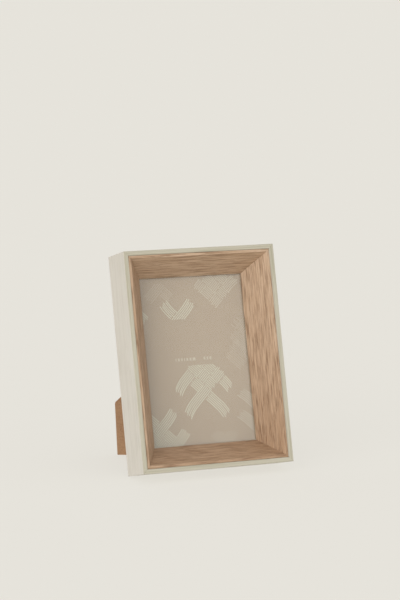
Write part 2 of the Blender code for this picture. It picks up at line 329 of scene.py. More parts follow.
def trim(
    shape: bmesh.types.BMesh, point: Sequence[float], facing: Sequence[float], weld: float = 0.0
) -> list[bmesh.types.BMEdge]:
    """Cut away what lies beyond a plane.

    Args:
        shape: What is cut.
        point: A point on the plane.
        facing: The way to the side that goes.
        weld: Points this close to the plane count as on it.

    Returns:
        The edges of the cut.
    """
    everything = [*shape.verts, *shape.edges, *shape.faces]
    cut = bmesh.ops.bisect_plane(
        shape, geom=everything, dist=weld, plane_co=point, plane_no=facing, clear_outer=True
    )
    return only(bmesh.types.BMEdge, cut["geom_cut"])


# --------------------------------------------------------------------------- the frame's sizes


class Side(Enum):
    """A side of the frame, by how far its rail is turned about Y from the bottom one, in degrees."""

    BOTTOM = 0
    LEFT = 90
    TOP = 180
    RIGHT = -90

    @property
    def tag(self) -> str:
        """Return the end of the names of this side's pieces."""
        return self.name.lower()


@dataclass
class Setting:
    """Where the frame stands and how large it is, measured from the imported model.

    Attributes:
        lean: How far the frame leans back, in radians.
        stand: Moves upright places to where the frame stands.
        width: Outside width.
        height: Outside height.
        depth: Outside depth.
    """

    frame: dict
    lean: float = field(init=False)
    stand: Matrix = field(init=False)
    width: float = field(init=False)
    height: float = field(init=False)
    depth: float = field(init=False)

    def __post_init__(self) -> None:
        """Find the lean from a turn button's axis, and the sizes from the four rails."""
        back = Vector(self.joint("turn_upper_left")["axis"]).normalized()
        self.lean = math.asin(-back.z)
        tip = Matrix.Rotation(-self.lean, 4, "X")
        rails = [self.frame["nodes"][f"outer_rail_{side.tag}"] for side in Side]
        corners = [tip.inverted() @ corner.co for rail in rails for corner in rail.data.vertices]
        low = Vector([min(corner[axis] for corner in corners) for axis in range(3)])
        high = Vector([max(corner[axis] for corner in corners) for axis in range(3)])
        self.stand = tip @ Matrix.Translation((0, high.y, low.z))
        self.height = high.z - low.z
        self.depth = high.y - low.y
        # The mitred ends stop short of the corners by the model's joint gap, so the
        # side rails give the true width.
        self.width = 2 * max(abs(corner.x) for corner in corners)

    def joint(self, name: str) -> dict:
        """Return a packed joint."""
        return next(joint for joint in self.frame["joints"] if joint["name"] == name)

    def upright_pivot(self, joint: str) -> Vector:
        """Return a joint's place in the upright frame."""
        return self.stand.inverted() @ Vector(self.joint(joint)["pos_m"])

    def rail_length(self, side: Side) -> float:
        """Return the outside length of a side."""
        return self.width if side in (Side.BOTTOM, Side.TOP) else self.height

    def rail_place(self, side: Side) -> Matrix:
        """Find where a rail goes.

        Args:
            side: The rail's side.

        Returns:
            What moves a rail, modelled along X with its outer face at Z = 0, onto its side.
        """
        middle = {
            Side.BOTTOM: (0, 0, 0),
            Side.LEFT: (-self.width / 2, 0, self.height / 2),
            Side.TOP: (0, 0, self.height),
            Side.RIGHT: (self.width / 2, 0, self.height / 2),
        }[side]
        return self.stand @ Matrix.Translation(middle) @ about_y(side.value)


@dataclass
class Piece:
    """A finished piece and what it says to the rest of the model.

    Attributes:
        name: The piece's name.
        slot: A material slot's name; not used.
        place: Moves the mesh from where it is modelled to where it stands.
        replaces: The node that it stands for, or an empty string.
        body: The body that it moves with.
    """

    name: str
    slot: str
    place: Matrix
    replaces: str = ""
    body: str = "frame"

    def make(self, shape: bmesh.types.BMesh, finish: bpy.types.Material, smooth: float = 40) -> None:
        """Turn a solid into the finished piece, an object at the origin with its place in its mesh.

        Args:
            shape: The solid, which is freed.
            finish: Its material.
            smooth: Edges sharper than this many degrees stay sharp.
        """
        moved(shape, self.place)
        bmesh.ops.recalc_face_normals(shape, faces=shape.faces)
        mesh = as_mesh(shape, self.name)
        mesh.materials.append(finish)
        mesh.shade_smooth()
        mesh.set_sharp_from_angle(angle=math.radians(smooth))
        made = in_scene(self.name, mesh)
        # Flat faces stay flat right up to their rounded edges.
        even = made.modifiers.new("even_shading", "WEIGHTED_NORMAL")
        even.keep_sharp = True
        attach(made, self.body)
        if self.replaces:
            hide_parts(self.replaces)
        LOG.info("%s: %d faces, on %s", self.name, len(mesh.polygons), self.body)


# --------------------------------------------------------------------------- finishes


def start_material(name: str) -> tuple[bpy.types.Material, bpy.types.NodeTree, bpy.types.Node]:
    """Return a new material, its node tree and its Principled shader."""
    material = bpy.data.materials.new(name)
    material.use_nodes = True
    return material, material.node_tree, material.node_tree.nodes["Principled BSDF"]


def per_mm(*lengths: float) -> tuple[float, ...]:
    """Return the scale that makes a pattern's unit this many millimetres long on each axis."""
    return tuple(1 / (length * MM) for length in lengths)


def own_coordinates(tree: bpy.types.NodeTree, place: Matrix) -> bpy.types.NodeSocket:
    """Return the socket that gives each point as it was modelled, before its piece was placed.

    Args:
        tree: The node tree.
        place: The piece's place.

    Returns:
        A vector socket, in metres.
    """
    back = place.inverted()
    stood = add_node(tree, "ShaderNodeTexCoord", out="Object")
    turned_back = {"Vector": stood, "Location": back.translation, "Rotation": back.to_euler()}
    return add_node(tree, "ShaderNodeMapping", turned_back)


@dataclass(frozen=True)
class LimedPaint:
    """Limed boards: thin matt white paint brushed along the grain of sawn ash.

    The paint fills most of the grain and leaves faint streaks.  It soaks into the
    narrow front edges, which dry a little darker and yellower than the faces.
    """

    face: str = "cfc9be"
    face_streak: str = "beb7aa"
    edge: str = "b9b3a0"
    edge_streak: str = "a59f89"
    roughness: float = 0.62
    # Ash shows a streak every millimetre or so; half a millimetre is too fine to show.
    streak_width: float = 1.2
    streak_length: float = 60.0
    cloud: float = 26.0
    edge_depth: float = 0.45

    def dress(self, name: str, place: Matrix, front: float, shift: float) -> bpy.types.Material:
        """Return the paint for one rail.

        Args:
            name: The material's name.
            place: The rail's place.
            front: The rail's front face, in its own coordinates.
            shift: Moves the pattern along, so that no two rails match.

        Returns:
            The material.
        """
        material, tree, shader = start_material(name)
        own = own_coordinates(tree, place)
        long, wide = self.streak_length, self.streak_width
        along = add_node(
            tree,
            "ShaderNodeMapping",
            {"Vector": own, "Scale": per_mm(long, wide, wide), "Location": (shift, shift, shift)},
        )
        grain = add_node(tree, "ShaderNodeTexNoise", {"Vector": along, "Scale": 1.0, "Detail": 3.0})
        cloudy = {"Vector": own, "Scale": 1 / (self.cloud * MM), "Detail": 2.0}
        clouds = add_node(tree, "ShaderNodeTexNoise", cloudy)
        streak_span = {"Value": grain, "From Min": 0.44, "From Max": 0.70}
        streaks = add_node(tree, "ShaderNodeMapRange", streak_span)
        cloud_span = {"Value": clouds, "From Min": 0.35, "From Max": 0.65, "To Min": 0.25, "To Max": 1.0}
        density = add_node(tree, "ShaderNodeMapRange", cloud_span)
        shown = add_node(tree, "ShaderNodeMath", {0: streaks, 1: density}, operation="MULTIPLY")
        face_mix = {"Factor": shown, MIX_A: linear(self.face), MIX_B: linear(self.face_streak)}
        face = add_node(tree, "ShaderNodeMix", face_mix, data_type="RGBA", out=MIX_RESULT)
        edge_mix = {"Factor": streaks, MIX_A: linear(self.edge), MIX_B: linear(self.edge_streak)}
        edge = add_node(tree, "ShaderNodeMix", edge_mix, data_type="RGBA", out=MIX_RESULT)
        depth = add_node(tree, "ShaderNodeSeparateXYZ", {"Vector": own}, out="Y")
        edge_span = {
            "Value": depth,
            "From Min": front + self.edge_depth * MM,
            "From Max": front + self.edge_depth * MM / 2,
        }
        on_edge = add_node(tree, "ShaderNodeMapRange", edge_span)
        both = {"Factor": on_edge, MIX_A: face, MIX_B: edge}
        colour = add_node(tree, "ShaderNodeMix", both, data_type="RGBA", out=MIX_RESULT)
        relief = {"Height": grain, "Strength": 0.35, "Distance": 0.12 * MM}
        dents = add_node(tree, "ShaderNodeBump", relief)
        set_inputs(tree, shader, {"Base Color": colour, "Roughness": self.roughness, "Normal": dents})
        return material


@dataclass(frozen=True)
class Board:
    """How one length of moulding was cut, and the painted shade along it.

    Attributes:
        heart: A point on the line that its rings run around, in the length's own coordinates.
        shift: Moves the grain along, so that no two lengths match.
        start: How much painted shade darkens its -X end, from 0 to 1.
        end: How much painted shade darkens its +X end.
    """

    heart: tuple[float, float, float]
    shift: float
    start: float
    end: float


@dataclass(frozen=True)
class LacqueredOak:
    """Planed white oak under a thin matt lacquer.

    The growth rings swing into arches where the board is cut flat, broad bands
    differ in tone, and the open pores read as short dark dashes along the grain.
    """

    light: str = "cbb095"
    dark: str = "b09173"
    pore: str = "84664b"
    # Painted shade: this colour is multiplied into the oak towards the darker ends of some lengths.
    depth: str = "e0d5c9"
    roughness: float = 0.5
    ring_spacing: float = 3.6
    # Real pores are about 0.3 mm wide; these are wide enough to show.
    pore_width: float = 0.8
    pore_length: float = 18.0
    streak_width: float = 0.8
    streak_length: float = 30.0

    def dress(self, name: str, place: Matrix, board: Board, length: float) -> bpy.types.Material:
        """Return the oak for one length of moulding.

        Args:
            name: The material's name.
            place: The moulding's place.
            board: How it was cut.
            length: Its length.

        Returns:
            The material.
        """
        material, tree, shader = start_material(name)
        own = own_coordinates(tree, place)
        # The rings run around a line that tilts a little from the moulding, so that they end in arches.
        from_heart = {"Vector": own, "Location": tuple(-part for part in board.heart), "Rotation": (0, 0.10, 0.06)}
        centred = add_node(tree, "ShaderNodeMapping", from_heart)
        squeezed = add_node(tree, "ShaderNodeMapping", {"Vector": centred, "Scale": (0.12, 1, 1)})
        ring_shape = {
            "Vector": squeezed,
            "Scale": math.tau / 20 / (self.ring_spacing * MM),
            "Distortion": 3.5,
            "Detail": 2.0,
            "Detail Scale": 0.55,
        }
        rings = add_node(
            tree, "ShaderNodeTexWave", ring_shape, wave_type="RINGS", rings_direction="X", wave_profile="SIN", out="Fac"
        )
        stretches = {
            "streak": (self.streak_length, self.streak_width),
            "pore": (self.pore_length, self.pore_width),
        }
        found = {}
        for kind, (long, wide) in stretches.items():
            stretch = {"Vector": own, "Scale": per_mm(long, wide, wide), "Location": (board.shift,) * 3}
            along = add_node(tree, "ShaderNodeMapping", stretch)
            noise = {"Vector": along, "Scale": 1.0, "Detail": 3.0, "Roughness": 0.6}
            found[kind] = add_node(tree, "ShaderNodeTexNoise", noise)
        streak_span = {"Value": found["streak"], "From Min": 0.38, "From Max": 0.62, "To Max": 0.8}
        streaks = add_node(tree, "ShaderNodeMapRange", streak_span)
        ring_span = {"Value": rings, "From Min": 0.2, "From Max": 0.9, "To Max": 0.12}
        ringed = add_node(tree, "ShaderNodeMapRange", ring_span)
        tone = add_node(tree, "ShaderNodeMath", {0: streaks, 1: ringed}, operation="ADD")
        wood_mix = {"Factor": tone, MIX_A: linear(self.light), MIX_B: linear(self.dark)}
        wood = add_node(tree, "ShaderNodeMix", wood_mix, data_type="RGBA", out=MIX_RESULT)
        pore_span = {"Value": found["pore"], "From Min": 0.50, "From Max": 0.57}
        pores = add_node(tree, "ShaderNodeMapRange", pore_span)
        crowd_span = {"Value": rings, "From Min": 0.2, "From Max": 0.8, "To Min": 0.45, "To Max": 0.75}
        crowded = add_node(tree, "ShaderNodeMapRange", crowd_span)
        shown = add_node(tree, "ShaderNodeMath", {0: pores, 1: crowded}, operation="MULTIPLY")
        pore_mix = {"Factor": shown, MIX_A: wood, MIX_B: linear(self.pore)}
        pored = add_node(tree, "ShaderNodeMix", pore_mix, data_type="RGBA", out=MIX_RESULT)
        # Painted shade: the oak darkens from one end of each length to the other, most at the lower right of the frame.
        far = add_node(tree, "ShaderNodeSeparateXYZ", {"Vector": own}, out="X")
        ends = {
            "Value": far,
            "From Min": -length / 2,
            "From Max": length / 2,
            "To Min": board.start,
            "To Max": board.end,
        }
        deep = add_node(tree, "ShaderNodeMapRange", ends)
        painted_shade_mix = {"Factor": deep, MIX_A: pored, MIX_B: linear(self.depth)}
        colour = add_node(tree, "ShaderNodeMix", painted_shade_mix, data_type="RGBA", blend_type="MULTIPLY", out=MIX_RESULT)
        # Lacquer lies a little duller in the pores.
        dull_span = {"Value": shown, "To Min": self.roughness, "To Max": self.roughness + 0.2}
        dullness = add_node(tree, "ShaderNodeMapRange", dull_span)
        relief = {"Height": shown, "Strength": 0.5, "Distance": 0.12 * MM}
        dents = add_node(tree, "ShaderNodeBump", relief, invert=True)
        set_inputs(tree, shader, {"Base Color": colour, "Roughness": dullness, "Normal": dents})
        return material


@dataclass(frozen=True)
class FloatGlass:
    """Clear float glass, flame-polished flat, with a faint bloom of dust and wiping."""

    tint: str = "fbfdfb"
    clean: float = 0.0
    bloomed: float = 0.03
    bloom_size: float = 18.0

    def dress(self, name: str) -> bpy.types.Material:
        """Return the glass, which lets direct light through to what lies behind it."""
        material, tree, shader = start_material(name)
        shader.inputs["Base Color"].default_value = linear(self.tint)
        shader.inputs["IOR"].default_value = 1.5
        shader.inputs["Transmission Weight"].default_value = 1.0
        stood = add_node(tree, "ShaderNodeTexCoord", out="Object")
        bloom = {"Vector": stood, "Scale": 1 / (self.bloom_size * MM), "Detail": 3.0}
        patches = add_node(tree, "ShaderNodeTexNoise", bloom)
        spread = {"Value": patches, "From Min": 0.35, "From Max": 0.7, "To Min": self.clean, "To Max": self.bloomed}
        tree.links.new(add_node(tree, "ShaderNodeMapRange", spread), shader.inputs["Roughness"])
        shadow = add_node(tree, "ShaderNodeLightPath", out="Is Shadow Ray")
        open_air = add_node(tree, "ShaderNodeBsdfTransparent")
        layers = {0: shadow, 1: shader.outputs["BSDF"], 2: open_air}
        seen = add_node(tree, "ShaderNodeMixShader", layers)
        tree.links.new(seen, tree.nodes["Material Output"].inputs["Surface"])
        return material


@dataclass(frozen=True)
class UncoatedCard:
    """Uncoated tinted card, or the pale ink that is screen-printed on it.

    Card shows soft fibre mottle and no shine; ink sits on it evenly, with slight
    thin places where the fibres stand up.
    """

    base: str = "baa793"
    mottle: str = "b7a38f"
    roughness: float = 0.85
    shine: float = 0.3
    fibre: float = 1.4
    cloud: float = 12.0

    def dress(self, name: str, place: Matrix) -> bpy.types.Material:
        """Return the finish for a piece of card or ink at this place."""
        material, tree, shader = start_material(name)
        own = own_coordinates(tree, place)
        sizes = {"fibre": self.fibre, "cloud": self.cloud}
        found = {}
        for kind, size in sizes.items():
            noise = {"Vector": own, "Scale": 1 / (size * MM), "Detail": 3.0, "Roughness": 0.6}
            found[kind] = add_node(tree, "ShaderNodeTexNoise", noise)
        both = add_node(tree, "ShaderNodeMath", {0: found["fibre"], 1: found["cloud"]}, operation="ADD")
        span = {"Value": both, "From Min": 0.75, "From Max": 1.25}
        amount = add_node(tree, "ShaderNodeMapRange", span)
        mix = {"Factor": amount, MIX_A: linear(self.base), MIX_B: linear(self.mottle)}
        colour = add_node(tree, "ShaderNodeMix", mix, data_type="RGBA", out=MIX_RESULT)
        relief = {"Height": found["fibre"], "Strength": 0.2, "Distance": 0.05 * MM}
        dents = add_node(tree, "ShaderNodeBump", relief)
        set_inputs(tree, shader, {"Base Color": colour, "Roughness": self.roughness, "Normal": dents})
        set_inputs(tree, shader, {"Specular IOR Level": self.shine})
        return material


@dataclass(frozen=True)
class Hardboard:
    """Pressed wood fibre: a close brown face with light and dark flecks, and a rawer sawn edge."""

    face: str = "977150"
    fleck: str = "7b583c"
    pale_fleck: str = "ab8867"
    edge: str = "94643a"
    roughness: float = 0.8
    # Fibres are about 0.2 mm across; the flecks are bundles of them, coarse enough to show.
    fleck_size: float = 1.1
    cloud: float = 14.0

    def dress(self, name: str, place: Matrix, faces: Span) -> bpy.types.Material:
        """Return the finish for one board.

        Args:
            name: The material's name.
            place: The board's place.
            faces: Its two broad faces, along its own Y.

        Returns:
            The material.
        """
        material, tree, shader = start_material(name)
        own = own_coordinates(tree, place)
        fine = {"Vector": own, "Scale": 1 / (self.fleck_size * MM), "Detail": 4.0, "Roughness": 0.65}
        fibres = add_node(tree, "ShaderNodeTexNoise", fine)
        broad = {"Vector": own, "Scale": 1 / (self.cloud * MM), "Detail": 2.0}
        clouds = add_node(tree, "ShaderNodeTexNoise", broad)
        cloud_mix = {"Factor": clouds, MIX_A: linear(self.face), MIX_B: linear(self.pale_fleck)}
        face = add_node(tree, "ShaderNodeMix", cloud_mix, data_type="RGBA", out=MIX_RESULT)
        for none, full, fleck in ((0.5, 0.72, self.fleck), (0.46, 0.28, self.pale_fleck)):
            span = {"Value": fibres, "From Min": none, "From Max": full}
            amount = add_node(tree, "ShaderNodeMapRange", span)
            fleck_mix = {"Factor": amount, MIX_A: face, MIX_B: linear(fleck)}
            face = add_node(tree, "ShaderNodeMix", fleck_mix, data_type="RGBA", out=MIX_RESULT)
        depth = add_node(tree, "ShaderNodeSeparateXYZ", {"Vector": own}, out="Y")
        middle = sum(faces) / 2
        off = add_node(tree, "ShaderNodeMath", {0: depth, 1: middle}, operation="SUBTRACT")
        away = add_node(tree, "ShaderNodeMath", {0: off}, operation="ABSOLUTE")
        half = abs(faces[1] - faces[0]) / 2
        edge_span = {"Value": away, "From Min": half - 0.12 * MM, "From Max": half - 0.4 * MM}
        on_edge = add_node(tree, "ShaderNodeMapRange", edge_span)
        edge_mix = {"Factor": on_edge, MIX_A: face, MIX_B: linear(self.edge)}
        colour = add_node(tree, "ShaderNodeMix", edge_mix, data_type="RGBA", out=MIX_RESULT)
        relief = {"Height": fibres, "Strength": 0.35, "Distance": 0.08 * MM}
        dents = add_node(tree, "ShaderNodeBump", relief)
        set_inputs(tree, shader, {"Base Color": colour, "Roughness": self.roughness, "Normal": dents})
        return material


@dataclass(frozen=True)
class ZincPlate:
    """Stamped steel with bright zinc plating: a soft grey shine with faint milky patches and rolling lines."""

    bright: str = "cfd0cd"
    milky: str = "b3b4b2"
    polished: float = 0.27
    dull: float = 0.45
    patch: float = 2.6
    line_width: float = 0.35

    def dress(self, name: str, place: Matrix) -> bpy.types.Material:
        """Return the plating for a piece at this place."""
        material, tree, shader = start_material(name)
        own = own_coordinates(tree, place)
        patchy = {"Vector": own, "Scale": 1 / (self.patch * MM), "Detail": 3.0}
        patches = add_node(tree, "ShaderNodeTexNoise", patchy)
        rolled = {"Vector": own, "Scale": per_mm(9.0, self.line_width, self.line_width)}
        lines_at = add_node(tree, "ShaderNodeMapping", rolled)
        lines = add_node(tree, "ShaderNodeTexNoise", {"Vector": lines_at, "Scale": 1.0, "Detail": 2.0})
        mix = {"Factor": patches, MIX_A: linear(self.bright), MIX_B: linear(self.milky)}
        colour = add_node(tree, "ShaderNodeMix", mix, data_type="RGBA", out=MIX_RESULT)
        tree.links.new(colour, shader.inputs["Base Color"])
        shader.inputs["Metallic"].default_value = 1.0
        spread = {"Value": patches, "From Min": 0.3, "From Max": 0.7, "To Min": self.polished, "To Max": self.dull}
        tree.links.new(add_node(tree, "ShaderNodeMapRange", spread), shader.inputs["Roughness"])
        relief = {"Height": lines, "Strength": 0.12, "Distance": 0.05 * MM}
        tree.links.new(add_node(tree, "ShaderNodeBump", relief), shader.inputs["Normal"])
        return material


# --------------------------------------------------------------------------- joinery


def mitred(section: Sequence[Point2], length: float, open_by: float, arris: float) -> bmesh.types.BMesh:
    """Run a length of moulding along X and saw both ends to 45 degrees.

    Args:
        section: (inset, height) corners of the section; height is along Y.
        length: The outside length.
        open_by: How far each saw cut stands back from the true mitre, along X.
        arris: How far the long edges are rounded.

    Returns:
        A closed solid, middle at X = 0, outer face at Z = 0.
    """
    shape = extruded([(-length / 2, height, inset) for inset, height in section], (length, 0, 0))
    soften(shape, arris, lambda edge: abs(edge.verts[0].co.x - edge.verts[1].co.x) > length / 2, 3)
    for end in (-1, 1):
        rim = trim(shape, (end * (length / 2 - open_by), 0, 0), (end, 0, 1), WELD)
        bmesh.ops.edgeloop_fill(shape, edges=rim)
    bmesh.ops.recalc_face_normals(shape, faces=shape.faces)
    return shape


@dataclass
class OuterBox:
    """The four painted boards that make the outside of the frame.

    Attributes:
        setting: The frame's place and size.
        thickness: How thick the boards are.
        arris: How far their edges are rounded by sanding.
        mitre_gap: How far each saw cut stands back at the corners.
        paint: Their finish.
    """

    setting: Setting
    thickness: float = 4 * MM
    arris: float = 0.45 * MM
    mitre_gap: float = 0.05 * MM
    paint: LimedPaint = LimedPaint()

    def section(self) -> list[Point2]:
        """Return the (inset, height) corners of a board."""
        front = -self.setting.depth
        return [(0, front), (self.thickness, front), (self.thickness, 0), (0, 0)]

    def build(self) -> None:
        """Build and paint the four boards."""
        for number, side in enumerate(Side):
            place = self.setting.rail_place(side)
            shape = mitred(self.section(), self.setting.rail_length(side), self.mitre_gap, self.arris)
            finish = self.paint.dress(f"limed_paint_{side.tag}", place, -self.setting.depth, 3.7 * number)
            Piece(f"painted_board_{side.tag}", "limed_paint", place, f"outer_rail_{side.tag}").make(shape, finish)


@dataclass
class OakSlip:
    """The sloping oak moulding inside the box, with its corner nails and the screw holes in its back.

    Attributes:
        setting: The frame's place and size.
        outer: Inset of its outer face.
        lip_depth: How far its flat lip lies below the front.
        lip_end: Inset at which the lip turns into the slope.
        sight: Inset of the edge around the picture.
        slope_depth: Depth at which the slope ends.
        sight_depth: Depth of the back of the sight edge.
        rebate: Inset of the rebate behind it.
        back_depth: Depth of its back face.
        arris: How far its edges are rounded.
        mitre_gap: How far each saw cut stands back at the corners.
        nail_inset: Inset of each nail's elbow.
        nail_leg: Length of a nail's legs across the joint.
        nail_steel: Thickness of its steel.
        nail_length: How deep it is driven.
        nail_play: Room around a nail in its slot.
        nail_past: How far the slots' cutters stand out of the back.
        nail_sunk: How far a nail's top lies below the back.
        pilot_radius: Radius of the screw holes.
        pilot_depth: Their depth.
        pilot_past: How far the holes' cutters stand out.
        oak: The finish of the wood.
        plating: The finish of the nails.
    """

    setting: Setting
    outer: float = 4.1 * MM
    lip_depth: float = 0.8 * MM
    lip_end: float = 6.5 * MM
    sight: float = 22 * MM
    slope_depth: float = 27 * MM
    sight_depth: float = 28 * MM
    rebate: float = 18.4 * MM
    back_depth: float = 34.6 * MM
    arris: float = 0.3 * MM
    mitre_gap: float = 0.04 * MM
    nail_inset: float = 9.5 * MM
    nail_leg: float = 4.5 * MM
    nail_steel: float = 0.5 * MM
    nail_length: float = 5.5 * MM
    nail_play: float = 0.05 * MM
    nail_past: float = 0.5 * MM
    nail_sunk: float = 0.02 * MM
    pilot_radius: float = 1.15 * MM
    pilot_depth: float = 8 * MM
    pilot_past: float = 2 * MM
    oak: LacqueredOak = LacqueredOak()
    plating: ZincPlate = ZincPlate()

    @property
    def back(self) -> float:
        """Return the height of the back face."""
        return self.back_depth - self.setting.depth

    def section(self) -> list[Point2]:
        """Return the (inset, height) corners of the moulding."""
        corners = [
            (self.outer, self.lip_depth),
            (self.lip_end, self.lip_depth),
            (self.sight, self.slope_depth),
            (self.sight, self.sight_depth),
            (self.rebate, self.sight_depth),
            (self.rebate, self.back_depth),
            (self.outer, self.back_depth),
        ]
        return [(inset, depth - self.setting.depth) for inset, depth in corners]

    def nail(self, grow: float, stand_out: float) -> bmesh.types.BMesh:
        """Return an angled nail, or the slot that it cuts.

        Args:
            grow: How much larger every side is than the nail.
            stand_out: How far its top stands above the oak.

        Returns:
            A solid with its elbow at the origin and its legs along +X and +Z.
        """
        inner, far = self.nail_steel + grow, self.nail_leg + grow
        corners = [(-grow, -grow), (far, -grow), (far, inner), (inner, inner), (inner, far), (-grow, far)]
        top = self.back + stand_out
        bottom = self.back - self.nail_length - grow
        return extruded([(x, bottom, z) for x, z in corners], (0, top - bottom, 0))

    def corners(self) -> dict[str, tuple[Matrix, tuple[Side, Side]]]:
        """Return each corner's name, the upright place of its nail and the two lengths that meet there."""
        x, low = self.setting.width / 2 - self.nail_inset, self.nail_inset
        high = self.setting.height - low
        turns = {
            "bottom_left": ((-x, 0, low), 0, (Side.BOTTOM, Side.LEFT)),
            "top_left": ((-x, 0, high), 90, (Side.TOP, Side.LEFT)),
            "top_right": ((x, 0, high), 180, (Side.TOP, Side.RIGHT)),
            "bottom_right": ((x, 0, low), 270, (Side.BOTTOM, Side.RIGHT)),
        }
        return {
            name: (Matrix.Translation(place) @ about_y(turn), sides)
            for name, (place, turn, sides) in turns.items()
        }

    def cutters(self, side: Side) -> list[bmesh.types.BMesh]:
        """Make what is cut from the back of one length.

        Args:
            side: The side that the length is on.

        Returns:
            The nails' slots and the screw holes, in the length's own coordinates.
        """
        to_own = self.setting.rail_place(side).inverted() @ self.setting.stand
        places = [place for place, sides in self.corners().values() if side in sides]
        found = [moved(self.nail(self.nail_play, self.nail_past), to_own @ place) for place in places]
        if side in (Side.LEFT, Side.RIGHT):
            for level in ("lower", "upper"):
                pivot = self.setting.upright_pivot(f"turn_{level}_{side.tag}")
                pilot = rod(self.pilot_radius, -self.pilot_depth, self.pilot_past, 24)
                found.append(moved(pilot, to_own @ Matrix.Translation(pivot)))
        return found

    def build(self) -> None:
        """Build the four lengths and drive the nails."""
        # The last two numbers of each board give the painted shade at its two ends.
        boards = {
            Side.BOTTOM: Board((0.02, 0.012, -0.030), 0.0, 0.65, 1.0),
            Side.LEFT: Board((0.05, -0.060, 0.020), 5.3, 0.5, 0.4),
            Side.TOP: Board((-0.03, 0.020, 0.060), 10.6, 0.2, 0.2),
            Side.RIGHT: Board((0.060, -0.006, -0.012), 15.9, 1.0, -0.1),
        }
        for side in Side:
            place = self.setting.rail_place(side)
            shape = mitred(self.section(), self.setting.rail_length(side), self.mitre_gap, self.arris)
            shape = carve(shape, self.cutters(side))
            finish = self.oak.dress(f"oak_{side.tag}", place, boards[side], self.setting.rail_length(side))
            Piece(f"oak_moulding_{side.tag}", "oak", place, f"inner_slip_{side.tag}").make(shape, finish, 30)
        for name, (local, _) in self.corners().items():
            place = self.setting.stand @ local
            shape = self.nail(0, -self.nail_sunk)
            soften(shape, 0.08 * MM)
            finish = self.plating.dress(f"zinc_nail_{name}", place)
            Piece(f"angle_nail_{name}", "zinc_steel", place, f"corner_nail_{name}").make(shape, finish)


# --------------------------------------------------------------------------- glass and card


class Ink(Enum):
    """How strongly a group of ribbons is printed."""

    FULL = "full"
    FAINT = "faint"
    TRACE = "trace"


@dataclass(frozen=True)
class Ribbon:
    """One ribbon of a plait, as a run of parallel lines.

    Attributes:
        row: How many ribbon widths it lies from the plait's middle ribbon.
        start: Where it starts along its way, in millimetres from the middle of its row.
        end: Where it ends.
        curl_start: How far its first stretch bends, in degrees.
        curl_end: How far its last stretch bends.
    """

    row: int
    start: float
    end: float
    curl_start: float = 0.0
    curl_end: float = 0.0


@dataclass(frozen=True)
class Plait:
    """A group of ribbons that cross at right angles, over and under.

    Attributes:
        middle: Where its middle ribbons cross, from the middle of the card, in millimetres.
        rising: The ribbons that run up to the right.
        falling: The ribbons that run down to the right.
        ink: How strongly it is printed.
        ceiling: Nothing is printed above this.
        floor: Nothing is printed below this.
    """

    middle: Point2
    rising: tuple[Ribbon, ...]
    falling: tuple[Ribbon, ...]
    ink: Ink = Ink.FULL
    ceiling: float = 100.0
    floor: float = -100.0


PLAITS = (
    Plait(
        (4.5, -28.0),
        (Ribbon(0, -26, 25, 20, 0), Ribbon(-1, -4, 26), Ribbon(-2, -17, 24, 20, 0)),
        (Ribbon(0, -21, 28, 0, 20), Ribbon(1, -25, 4), Ribbon(2, -24, 16, 0, 14)),
        ceiling=-4.2,
    ),
    Plait(
        (23.0, 51.5),
        (Ribbon(0, -4.6, 27, 0, 12), Ribbon(-1, -4.6, 21), Ribbon(-2, -4.6, 17)),
        (Ribbon(0, -27, 4.6, 12, 0), Ribbon(1, -21, 4.6), Ribbon(2, -17, 4.6)),
        ink=Ink.FAINT,
        ceiling=75.5,
    ),
    Plait((-14.0, 37.0), (Ribbon(0, -6, 19, 0, -14),), (Ribbon(0, -19, 6, -14, 0),), floor=36.8),
    Plait((-52.0, 44.5), (), (Ribbon(0, -9, 11),)),
    Plait((-30.0, 66.0), (Ribbon(0, -15, 5),), (Ribbon(0, -5, 14),), ink=Ink.TRACE, ceiling=69.0),
    Plait((45.0, 26.0), (Ribbon(0, -5, 12),), (Ribbon(0, -9, 16), Ribbon(-1, -3, 16)), ink=Ink.TRACE),
    Plait((43.0, 6.0), (Ribbon(0, -5, 12),), (Ribbon(0, -10, 10), Ribbon(-1, -8, 10)), ink=Ink.TRACE),
    Plait((45.0, -36.0), (), (Ribbon(0, -8, 12, 10, 0),), ink=Ink.FAINT),
    Plait((43.0, -55.0), (Ribbon(1, -4.6, 9),), (Ribbon(0, -8, 14, 10, 0),), ink=Ink.FAINT),
    Plait(
        (-39.5, -58.5),
        (Ribbon(0, -20, 20, 0, -14), Ribbon(1, -22, 5), Ribbon(2, -24, 15, 0, -12)),
        (Ribbon(0, -20, 21), Ribbon(-1, -20, 21), Ribbon(-2, -22, 21)),
        floor=-75.5,
    ),
    Plait((20.0, -74.0), (Ribbon(0, -9, 13),), (Ribbon(0, -14, 9),), ink=Ink.TRACE, ceiling=-64.0),
)


